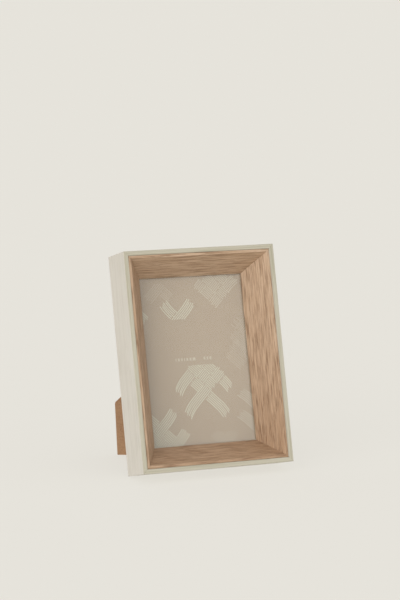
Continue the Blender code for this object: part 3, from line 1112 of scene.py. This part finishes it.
@dataclass
class RibbonPrint:
    """The pale plaited ribbons printed on the card.

    Attributes:
        pitch: Distance between a ribbon's lines.
        line: Width of a line.
        lines: Lines in a ribbon.
        ink_height: How far the ink stands above the card.
        step: Length of each short stretch of a line.
        curl: Length of the stretch that bends at a ribbon's end.
        shortest: Steps in the shortest line that is drawn.
    """

    pitch: float = 1.62 * MM
    line: float = 0.68 * MM
    lines: int = 6
    ink_height: float = 0.06 * MM
    step: float = 1.6 * MM
    curl: float = 11 * MM
    shortest: int = 3

    @property
    def width(self) -> float:
        """Return a ribbon's width with the space beside it."""
        return self.pitch * self.lines

    def hidden(self, ribbon: Ribbon, others: Sequence[Ribbon], over: int) -> list[Span]:
        """Return the stretches of a ribbon that pass under the ones that cross it.

        Args:
            ribbon: The ribbon.
            others: The ribbons that cross it.
            over: 0 if it is on top where the two rows add up to an even number, 1 if odd.

        Returns:
            (start, end) places along the ribbon.
        """
        half = self.width / 2
        spans = []
        for other in others:
            crosses = other.start * MM - half < ribbon.row * self.width < other.end * MM + half
            if crosses and (ribbon.row + other.row) % 2 != over:
                spans.append((other.row * self.width - half, other.row * self.width + half))
        return spans

    def stroke(self, shape: bmesh.types.BMesh, start: Matrix, turns: Sequence[float]) -> None:
        """Draw one line by pushing a short edge along, a step at a time.

        Args:
            shape: The mesh that is added to.
            start: The first place, with X along the line and Z across it.
            turns: How far the line turns at each step, in radians.
        """
        half = self.line / 2
        here = start
        ends = [shape.verts.new(here @ Vector((0, 0, side * half))) for side in (-1, 1)]
        edge = shape.edges.new(ends)
        for turn in turns:
            grown = bmesh.ops.extrude_edge_only(shape, edges=[edge])["geom"]
            edge, tips = only(bmesh.types.BMEdge, grown)[0], only(bmesh.types.BMVert, grown)
            onward = here @ Matrix.Translation((self.step, 0, 0)) @ Matrix.Rotation(turn, 4, "Y")
            bmesh.ops.transform(shape, matrix=onward @ here.inverted(), verts=tips)
            here = onward

    def draw(self, shape: bmesh.types.BMesh, middle: Matrix, ribbon: Ribbon, hidden: Sequence[Span]) -> None:
        """Draw the lines of one ribbon, with gaps where it passes under another.

        Args:
            shape: The mesh that is added to.
            middle: The middle of the ribbon's row, with X along the ribbon.
            ribbon: The ribbon.
            hidden: The stretches that are not seen.
        """
        start, end = ribbon.start * MM, ribbon.end * MM
        count = round((end - start) / self.step)
        bend = round(self.curl / self.step)
        turns = [0.0] * count
        for at in range(min(bend, count)):
            turns[at] += math.radians(ribbon.curl_start) / bend
            turns[count - 1 - at] += math.radians(ribbon.curl_end) / bend
        for number in range(self.lines):
            across = (number - (self.lines - 1) / 2) * self.pitch
            # The lines of a brushed ribbon don't all stop together.
            ragged = self.step * ((number * 5 + ribbon.row) % 3 - 1) / 2
            begin = Matrix.Translation((start + ragged, 0, across))
            if ribbon.curl_start:
                begin = begin @ about_y(-ribbon.curl_start)
                begin.translation.z -= self.curl * math.sin(math.radians(ribbon.curl_start)) / 2
            here, run, run_start = begin, [], begin
            for turn in turns:
                centre = (here @ Vector((self.step / 2, 0, 0))).x
                if any(low < centre < high for low, high in hidden):
                    if len(run) >= self.shortest:
                        self.stroke(shape, middle @ run_start, run)
                    run = []
                else:
                    if not run:
                        run_start = here
                    run.append(turn)
                here = here @ Matrix.Translation((self.step, 0, 0)) @ Matrix.Rotation(turn, 4, "Y")
            if len(run) >= self.shortest:
                self.stroke(shape, middle @ run_start, run)

    def plait(self, plait: Plait) -> bmesh.types.BMesh:
        """Return one plait, flat, at Y = 0, from the middle of the card."""
        shape = bmesh.new()
        centre = Matrix.Translation((plait.middle[0] * MM, 0, plait.middle[1] * MM))
        crossings = ((plait.rising, plait.falling, -45, 1, 0), (plait.falling, plait.rising, 45, -1, 1))
        for ribbons, others, turn, offset, over in crossings:
            heading = centre @ about_y(turn)
            for ribbon in ribbons:
                row = Matrix.Translation((0, 0, -offset * ribbon.row * self.width))
                self.draw(shape, heading @ row, ribbon, self.hidden(ribbon, others, over))
        for height, way in ((plait.ceiling, 1), (plait.floor, -1)):
            trim(shape, (0, 0, height * MM), (0, 0, way))
        return shape

    def caption(self, shape: bmesh.types.BMesh, middle: Point2, height: float) -> None:
        """Add a row of plain dashes where a size would be printed."""
        at = middle[0]
        for width in (0.9, 1.6, 1.3, 0.9, 1.6, 1.6, 2.4, 0.0, 1.6, 1.3, 1.6):
            if width:
                dash = [(at, 0, middle[1]), (at + width * MM, 0, middle[1])]
                edge = shape.edges.new([shape.verts.new(point) for point in dash])
                grown = bmesh.ops.extrude_edge_only(shape, edges=[edge])["geom"]
                bmesh.ops.translate(shape, verts=only(bmesh.types.BMVert, grown), vec=(0, 0, height))
            at += (width or 5.0) * MM + 1.4 * MM

    def build(self, ink: Ink, limits: Point2) -> bmesh.types.BMesh:
        """Return everything that is printed at one strength.

        Args:
            ink: The strength.
            limits: Half the width and half the height of the card.

        Returns:
            A solid film of ink, its back at Y = 0, trimmed to the card.
        """
        shape = bmesh.new()
        for plait in PLAITS:
            if plait.ink is ink:
                mesh = as_mesh(self.plait(plait), "plait")
                shape.from_mesh(mesh)
                bpy.data.meshes.remove(mesh)
        if ink is Ink.FAINT:
            self.caption(shape, (-20 * MM, 0), 2.6 * MM)
        for limit, facing in zip(limits, (Vector((1, 0, 0)), Vector((0, 0, 1)))):
            for way in (-1, 1):
                trim(shape, way * limit * facing, way * facing)
        film = bmesh.ops.extrude_face_region(shape, geom=list(shape.faces))["geom"]
        raised = only(bmesh.types.BMVert, film)
        bmesh.ops.translate(shape, verts=raised, vec=(0, -self.ink_height, 0))
        return shape


@dataclass
class Glazing:
    """The glass and the printed card behind it.

    Attributes:
        setting: The frame's place and size.
        inset: Inset of the glass from the outside of the frame.
        glass_depth: Depth of its front below the frame's front.
        glass_thickness: How thick it is.
        card_width: Width of the card.
        card_height: Height of the card.
        card_depth: Depth of its front.
        card_thickness: How thick it is.
        glass: The finish of the glass.
        card: The finish of the card.
        full_ink: The finish of the ribbons that are printed strongly.
        faint_ink: The finish of the paler ribbons and the caption.
        trace_ink: The finish of the ribbons that hardly show.
    """

    setting: Setting
    inset: float = 18.7 * MM
    glass_depth: float = 28.3 * MM
    glass_thickness: float = 2 * MM
    card_width: float = 101.6 * MM
    card_height: float = 152.4 * MM
    card_depth: float = 30.6 * MM
    card_thickness: float = 0.4 * MM
    glass: FloatGlass = FloatGlass()
    card: UncoatedCard = UncoatedCard()
    full_ink: UncoatedCard = UncoatedCard(base="d9d6c4", mottle="d3cfbc", roughness=0.6, fibre=0.9)
    faint_ink: UncoatedCard = UncoatedCard(base="cec4b3", mottle="c9bfad", roughness=0.7, fibre=0.9)
    trace_ink: UncoatedCard = UncoatedCard(base="c5b6a4", mottle="c1b29f", roughness=0.75, fibre=0.9)

    def sheet(self, width: float, height: float, depth: float, thickness: float, edge: float) -> bmesh.types.BMesh:
        """Return a flat sheet with its edges taken off, in upright coordinates.

        Args:
            width: Its width.
            height: Its height.
            depth: Depth of its front below the frame's front.
            thickness: How thick it is.
            edge: How far its edges are rounded.

        Returns:
            A closed solid, centred in the frame.
        """
        middle, front = self.setting.height / 2, depth - self.setting.depth
        low = (-width / 2, front, middle - height / 2)
        high = (width / 2, front + thickness, middle + height / 2)
        shape = block(low, high)
        soften(shape, edge)
        return shape

    def build(self) -> None:
        """Build the glass, the card and its print."""
        stand = self.setting.stand
        width, height = self.setting.width - 2 * self.inset, self.setting.height - 2 * self.inset
        pane = self.sheet(width, height, self.glass_depth, self.glass_thickness, 0.25 * MM)
        Piece("float_glass", "clear_glass", stand, "glass_pane").make(pane, self.glass.dress("clear_float_glass"))
        card = self.sheet(self.card_width, self.card_height, self.card_depth, self.card_thickness, 0.05 * MM)
        Piece("card_sheet", "printed_card", stand, "print_insert").make(card, self.card.dress("uncoated_card", stand))
        face = Matrix.Translation((0, self.card_depth - self.setting.depth + 0.01 * MM, self.setting.height / 2))
        limits = (self.card_width / 2 - 0.3 * MM, self.card_height / 2 - 0.3 * MM)
        inks = {Ink.FULL: self.full_ink, Ink.FAINT: self.faint_ink, Ink.TRACE: self.trace_ink}
        for ink, finish in inks.items():
            place = stand @ face
            film = RibbonPrint().build(ink, limits)
            Piece(f"ribbon_print_{ink.value}", "printed_card", place).make(
                film, finish.dress(f"ink_{ink.value}", place)
            )


# --------------------------------------------------------------------------- the back


@dataclass
class BackBoard:
    """The hardboard panel behind the card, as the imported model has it.

    Attributes:
        setting: The frame's place and size.
        front_depth: Depth of its front below the frame's front.
        thickness: How thick it is.
        finish: Its finish.
    """

    setting: Setting
    front_depth: float = 31.3 * MM
    thickness: float = 3 * MM
    finish: Hardboard = Hardboard()

    def build(self) -> None:
        """Dress the panel."""
        front = self.front_depth - self.setting.depth
        finish = self.finish.dress("hardboard_back", self.setting.stand, (front, front + self.thickness))
        node = self.setting.frame["nodes"]["back_board"]
        node.data.materials.clear()
        node.data.materials.append(finish)
        LOG.info("back_board: kept from the model, %s", finish.name)


def dome(radius: float, base: float, height: float, steps: int = 8) -> list[Point2]:
    """Return the (radius, height) points of a domed head, from its rim to its crown."""
    quarter = [math.radians(90 * step / steps) for step in range(steps)]
    return [(radius * math.cos(a), base + height * math.sin(a)) for a in quarter] + [(0, base + height)]


@dataclass
class TurnButtons:
    """The four turn buttons that hold the board in, and their screws.

    Attributes:
        setting: The frame's place and size.
        arm: Reach of a button from its screw to its far end.
        tail: Reach the other way.
        width: Width of a button.
        steel: Thickness of its steel.
        hole_radius: Radius of its hole.
        button_base: Height of a button's inner face.
        head_radius: Radius of the screw's head.
        head_height: Height of the screw's head.
        shank_radius: Radius of its shank.
        screw_length: Length of its shank.
        recess: Half the length of the cross in its head.
        plating: The finish of both.
    """

    setting: Setting
    arm: float = 13 * MM
    tail: float = 4 * MM
    width: float = 5 * MM
    steel: float = 0.8 * MM
    hole_radius: float = 1.2 * MM
    button_base: float = -5.1 * MM
    head_radius: float = 2.4 * MM
    head_height: float = 1.45 * MM
    shank_radius: float = 1.1 * MM
    screw_length: float = 7.8 * MM
    recess: float = 1.15 * MM
    plating: ZincPlate = ZincPlate()

    def button(self) -> bmesh.types.BMesh:
        """Return a button with its screw at the origin, its arm along +X and its thickness along +Y."""
        radius = self.width / 2
        ends = arc((self.arm - radius, 0), radius, -90, 90, 24) + arc((radius - self.tail, 0), radius, 90, 270, 24)
        shape = extruded([(x, 0, z) for x, z in ends], (0, self.steel, 0))
        soften(shape, 0.15 * MM)
        return carve(shape, [rod(self.hole_radius, -MM, 2 * MM, 40)])

    def screw(self, turn: float) -> bmesh.types.BMesh:
        """Return a pan-head screw whose head starts at height 0, with its cross turned by some degrees."""
        tip = 1.5 * MM
        shank = [(0, -self.screw_length), (self.shank_radius, tip - self.screw_length), (self.shank_radius, 0)]
        shape = turned(shank + dome(self.head_radius, 0, self.head_height))
        cross = []
        for quarter in (0, 90):
            arm = block((-self.recess, self.head_height - 0.75 * MM, -0.28 * MM), (self.recess, 2 * MM, 0.28 * MM))
            cross.append(moved(arm, about_y(turn + quarter)))
        return carve(shape, cross)

    def build(self) -> None:
        """Build the four buttons and their screws."""
        crosses = {"lower_left": 12, "lower_right": 64, "upper_left": 38, "upper_right": 81}
        for tag, cross in crosses.items():
            pivot = self.setting.upright_pivot(f"turn_{tag}")
            turn = about_y(0 if pivot.x < 0 else 180)
            place = self.setting.stand @ Matrix.Translation((pivot.x, self.button_base, pivot.z)) @ turn
            finish = self.plating.dress(f"zinc_button_{tag}", place)
            Piece(f"pressed_button_{tag}", "zinc_steel", place, f"turn_button_{tag}", f"button_{tag}").make(
                self.button(), finish
            )
            base = self.button_base + self.steel + 0.05 * MM
            place = self.setting.stand @ Matrix.Translation((pivot.x, base, pivot.z))
            finish = self.plating.dress(f"zinc_screw_{tag}", place)
            Piece(f"cross_screw_{tag}", "zinc_steel", place, f"button_screw_{tag}").make(self.screw(cross), finish)


@dataclass
class HingedStrut:
    """The hardboard strut and its pinned steel hinge.

    The strut's own directions are X along the hinge, Y out of its back and Z from its toe up to the hinge.

    Attributes:
        setting: The frame's place and size.
        open_angle: How far the strut stands open.
        face: Height of its inner face over the hinge's axis.
        thickness: How thick it is.
        half_width: Half its width.
        top_half_width: Half its width at the hinge.
        heel: How far it reaches past the hinge.
        shoulder: Where it comes to its full width.
        foot: Where its long edges end.
        toe: Where its point ends.
        notch_half_width: Half the width of the notch around the knuckles.
        notch_depth: How far down the notch reaches.
        leaf_half_width: Half the width of the leaves.
        leaf_length: Their length from the axis.
        leaf_steel: Their thickness.
        knuckle_radius: Outside radius of the knuckles.
        bore_radius: Inside radius of the knuckles.
        middle_knuckle: Half the length of the middle knuckle.
        knuckle_gap: Play between knuckles.
        pin_radius: Radius of the pin.
        pin_head: Radius of its heads.
        pin_head_length: Their length.
        rivet_across: How far the rivets stand from the middle.
        rivet_along: How far they stand from the axis.
        rivet_head: Radius of a rivet's head.
        rivet_height: Its height.
        rivet_shank: Radius of its shank.
        board_face: Height of the back board's outside over the axis.
        board_thickness: How thick the board is.
        hardboard: The finish of the strut.
        plating: The finish of the steel.
    """

    setting: Setting
    open_angle: float = math.radians(36)
    face: float = 2.0 * MM
    thickness: float = 3 * MM
    half_width: float = 36 * MM
    top_half_width: float = 18 * MM
    heel: float = 5.5 * MM
    shoulder: float = 14 * MM
    foot: float = 109.15 * MM
    toe: float = 144.36 * MM
    notch_half_width: float = 11 * MM
    notch_depth: float = 2.5 * MM
    leaf_half_width: float = 10 * MM
    leaf_length: float = 13 * MM
    leaf_steel: float = 0.8 * MM
    knuckle_radius: float = 1.7 * MM
    bore_radius: float = 0.85 * MM
    middle_knuckle: float = 4 * MM
    knuckle_gap: float = 0.2 * MM
    pin_radius: float = 0.78 * MM
    pin_head: float = 1.4 * MM
    pin_head_length: float = 0.6 * MM
    rivet_across: float = 6 * MM
    rivet_along: float = 8.5 * MM
    rivet_head: float = 2.2 * MM
    rivet_height: float = 1.15 * MM
    rivet_shank: float = 1.0 * MM
    board_face: float = -2.0 * MM
    board_thickness: float = 3 * MM
    hardboard: Hardboard = Hardboard()
    plating: ZincPlate = ZincPlate()

    @property
    def seat(self) -> Matrix:
        """Return the place of the hinge, with X along its axis and Y out of the back."""
        axis = self.setting.stand.to_3x3().inverted() @ Vector(self.setting.joint("strut_hinge")["axis"])
        turn = Matrix.Rotation(math.atan2(-axis.z, axis.x), 4, "Y")
        return self.setting.stand @ Matrix.Translation(self.setting.upright_pivot("strut_hinge")) @ turn

    @property
    def swing(self) -> Matrix:
        """Return the place of the open strut."""
        return self.seat @ Matrix.Rotation(self.open_angle, 4, "X")

    def rivet_holes(self, along: float) -> list[bmesh.types.BMesh]:
        """Make the cutters for a pair of rivet holes.

        Args:
            along: Where the pair lies, along Z.

        Returns:
            Two round solids that reach through both sides.
        """
        reach, radius = 12 * MM, self.rivet_shank * 1.1
        places = [Matrix.Translation((side * self.rivet_across, 0, along)) for side in (-1, 1)]
        return [moved(rod(radius, -reach, reach, 24), place) for place in places]

    def strut(self) -> bmesh.types.BMesh:
        """Return the strut with softened edges and its rivet holes."""
        right = [
            (self.notch_half_width, self.notch_depth),
            (self.notch_half_width, -self.heel),
            (self.top_half_width, -self.heel),
            (self.half_width, self.shoulder),
            (self.half_width, self.foot),
        ]
        outline = right + [(0, self.toe)] + [(-across, along) for across, along in reversed(right)]
        shape = extruded([(across, self.face, -along) for across, along in outline], (0, self.thickness, 0))
        # The saw leaves the corners a little blunt, then the edges are sanded.
        soften(shape, 0.6 * MM, lambda edge: abs(edge.verts[0].co.y - edge.verts[1].co.y) > MM, 3)
        soften(shape, 0.25 * MM, lambda edge: abs(edge.verts[0].co.y - edge.verts[1].co.y) < 0.1 * MM, 2)
        return carve(shape, self.rivet_holes(-self.rivet_along))

    def leaf(self, side: int) -> bmesh.types.BMesh:
        """Return a leaf with its rolled knuckles: side 1 lies on the strut, -1 on the board."""
        inner = self.knuckle_radius - self.leaf_steel
        meet = math.degrees(math.asin(inner / self.knuckle_radius))
        curl = arc((0, 0), self.knuckle_radius, 90, 360 + meet, 40)
        section = [*curl, (self.leaf_length, inner), (self.leaf_length, self.knuckle_radius)]
        half = self.leaf_half_width
        shape = extruded([(-half, side * y, -side * z) for z, y in section], (2 * half, 0, 0))
        # The free corners of the plate are rounded by the die.
        free = -side * (self.leaf_length - 0.1 * MM)

        def at_corner(edge: bmesh.types.BMEdge) -> bool:
            """Tell whether an edge runs through the plate at a free corner."""
            first, second = (point.co for point in edge.verts)
            return min(first.z / free, second.z / free) > 1 and abs(first.x - second.x) < 0.1 * MM

        soften(shape, 1.6 * MM, at_corner, 6)
        cutters = self.rivet_holes(-side * self.rivet_along)
        clear = self.knuckle_radius + 0.3 * MM
        if side > 0:
            reach = self.middle_knuckle + self.knuckle_gap
            low, high, spans = -clear, 2 * clear, [(-reach, reach)]
        else:
            reach = self.middle_knuckle + self.knuckle_gap / 2
            low, high, spans = -2 * clear, clear, [(-2 * half, -reach), (reach, 2 * half)]
        cutters += [block((near, -2 * clear, low), (far, 2 * clear, high)) for near, far in spans]
        cutters.append(moved(rod(self.bore_radius, -2 * half, 2 * half, 32), ALONG_X))
        return carve(shape, cutters)

    def pin(self) -> bmesh.types.BMesh:
        """Return the headed pin, along X."""
        half = self.leaf_half_width + self.knuckle_gap
        far = half + self.pin_head_length
        end = [(self.pin_head * 0.55, far), (self.pin_head * 0.85, far - 0.12 * MM), (self.pin_head, far - 0.32 * MM)]
        top = [(self.pin_radius, half), (self.pin_head, half), *reversed(end), (0, far)]
        profile = [(radius, -along) for radius, along in reversed(top)] + top
        return moved(turned(profile), ALONG_X)

    def rivet(self, length: float) -> bmesh.types.BMesh:
        """Return a domed rivet whose head starts at height 0, its shank spread a little at its far end."""
        spread = self.rivet_shank * 1.25
        tail = [(0, -length), (spread * 0.8, -length), (spread, 0.15 * MM - length)]
        shank = [(self.rivet_shank, 0.4 * MM - length), (self.rivet_shank, 0)]
        return turned(tail + shank + dome(self.rivet_head, 0, self.rivet_height))

    def build(self) -> None:
        """Build the strut, both leaves, the pin and the rivets."""
        seat, swing = self.seat, self.swing
        finish = self.hardboard.dress("hardboard_strut", swing, (self.face, self.face + self.thickness))
        Piece("easel_strut", "hardboard", swing, "strut", "strut").make(self.strut(), finish)
        steel = {
            "seat": self.plating.dress("zinc_hinge_seat", seat),
            "swing": self.plating.dress("zinc_hinge_swing", swing),
        }
        Piece("rolled_leaf_board", "zinc_steel", seat, "hinge_leaf_board").make(self.leaf(-1), steel["seat"])
        Piece("rolled_leaf_strut", "zinc_steel", swing, "hinge_leaf_strut", "strut").make(self.leaf(1), steel["swing"])
        Piece("headed_pin", "zinc_steel", seat, "hinge_pin").make(self.pin(), steel["seat"])
        plate = self.leaf_steel - self.knuckle_radius
        for number, sign in enumerate((-1, 1), start=1):
            across = sign * self.rivet_across
            length = plate - (self.board_face - self.board_thickness)
            place = seat @ Matrix.Translation((across, plate + 0.02 * MM, self.rivet_along))
            Piece(f"domed_rivet_board_{number}", "zinc_steel", place, f"board_rivet_{number}").make(
                self.rivet(length), steel["seat"]
            )
            back = self.face + self.thickness
            place = swing @ Matrix.Translation((across, back + 0.02 * MM, -self.rivet_along))
            Piece(f"domed_rivet_strut_{number}", "zinc_steel", place, f"strut_rivet_{number}", "strut").make(
                self.rivet(back + plate), steel["swing"]
            )


# --------------------------------------------------------------------------- the studio


@dataclass
class Studio:
    """A pale seamless floor, soft light from the left and the camera.

    Attributes:
        floor_size: Half the floor's side.
        floor_colour: What the floor looks like.
        own_glow: The part of that which the floor gives off itself, so that shadows stay faint.
        sky: Strength of the even light, halfway between front and back.
        front_share: How much stronger it is from the front, and weaker from the back.
        broad: Strength of the broad light from the left.
        broad_from: Where it comes from.
        broad_spread: How wide it is, in degrees.
        eye: The camera's place.
        pitch: How far the camera looks down, in degrees.
        yaw: How far it looks to the right of +Y, in degrees.
        lens: Its focal length, in millimetres, for a 36 mm sensor.
    """

    floor_size: float = 60.0
    floor_colour: str = "e9e6de"
    own_glow: float = 0.8
    sky: float = 0.76
    front_share: float = 0.35
    broad: float = 1.8
    broad_from: tuple[float, float, float] = (-0.75, -0.62, 0.13)
    broad_spread: float = 60.0
    eye: tuple[float, float, float] = (-0.775, -1.939, 0.4666)
    pitch: float = 8.69
    yaw: float = 21.97
    lens: float = 144.2

    def floor(self) -> None:
        """Lay the floor."""
        shape = bmesh.new()
        bmesh.ops.create_grid(shape, x_segments=2, y_segments=2, size=self.floor_size)
        mesh = as_mesh(shape, "studio_floor")
        # Seamless paper: matt, with a faint tooth.
        material, tree, shader = start_material("seamless_paper")
        stood = add_node(tree, "ShaderNodeTexCoord", out="Object")
        tooth = add_node(tree, "ShaderNodeTexNoise", {"Vector": stood, "Scale": 30.0, "Detail": 2.0})
        paper = linear(self.floor_colour)
        mix = {"Factor": tooth, MIX_A: paper, MIX_B: tuple(value * 0.995 for value in paper)}
        colour = add_node(tree, "ShaderNodeMix", mix, data_type="RGBA", out=MIX_RESULT)
        set_inputs(tree, shader, {"Base Color": colour, "Roughness": 1.0, "Specular IOR Level": 0.0})
        glow = {"Color": colour, "Strength": 1.0}
        lit = add_node(tree, "ShaderNodeEmission", glow)
        layers = {0: self.own_glow, 1: shader.outputs["BSDF"], 2: lit}
        seen = add_node(tree, "ShaderNodeMixShader", layers)
        tree.links.new(seen, tree.nodes["Material Output"].inputs["Surface"])
        mesh.materials.append(material)
        floor = in_scene("studio_floor", mesh)
        floor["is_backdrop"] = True

    def lights(self) -> None:
        """Light the room softly, more from the front, with a broad light from the left."""
        scene = bpy.context.scene
        scene.world = scene.world or bpy.data.worlds.new("studio")
        scene.world.use_nodes = True
        tree = scene.world.node_tree
        background = tree.nodes["Background"]
        background.inputs["Color"].default_value = (1, 1, 1, 1)
        way = add_node(tree, "ShaderNodeTexCoord", out="Generated")
        back = add_node(tree, "ShaderNodeSeparateXYZ", {"Vector": way}, out="Y")
        span = {
            "Value": back,
            "From Min": -1.0,
            "From Max": 1.0,
            "To Min": self.sky * (1 + self.front_share),
            "To Max": self.sky * (1 - self.front_share),
        }
        tree.links.new(add_node(tree, "ShaderNodeMapRange", span), background.inputs["Strength"])
        # Behind the floor's far edge the paper seems to go on.
        paper = add_node(tree, "ShaderNodeBackground", {"Color": linear(self.floor_colour), "Strength": 0.985})
        seen = add_node(tree, "ShaderNodeLightPath", out="Is Camera Ray")
        layers = {0: seen, 1: background.outputs["Background"], 2: paper}
        shown = add_node(tree, "ShaderNodeMixShader", layers)
        tree.links.new(shown, tree.nodes["World Output"].inputs["Surface"])
        lamp = bpy.data.lights.new("broad_light", "SUN")
        lamp.energy = self.broad
        lamp.angle = math.radians(self.broad_spread)
        holder = in_scene("broad_light", lamp)
        holder.rotation_euler = Vector(self.broad_from).to_track_quat("Z", "Y").to_euler()
        scene.view_settings.view_transform = "Standard"

    def camera(self) -> None:
        """Set the camera up."""
        view = bpy.data.cameras.new("camera")
        view.lens = self.lens
        view.clip_end = 300
        holder = in_scene("camera", view)
        holder.location = self.eye
        holder.rotation_euler = (math.radians(90 - self.pitch), 0, -math.radians(self.yaw))
        bpy.context.scene.camera = holder

    def build(self) -> None:
        """Set up the camera, then the floor and the lights."""
        self.camera()
        self.floor()
        self.lights()
        LOG.info("studio: floor, lights and camera")


def corners() -> list[list[float]]:
    """Return the lowest and highest corner of what is shown."""
    return [list(corner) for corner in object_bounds()]


def main() -> None:
    """Build every sub-assembly in order."""
    logging.basicConfig(level=logging.INFO, format="%(message)s")
    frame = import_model()
    setting = Setting(frame)
    Studio().build()
    OuterBox(setting).build()
    OakSlip(setting).build()
    Glazing(setting).build()
    BackBoard(setting).build()
    TurnButtons(setting).build()
    HingedStrut(setting).build()


if __name__ == "__main__":
    main()
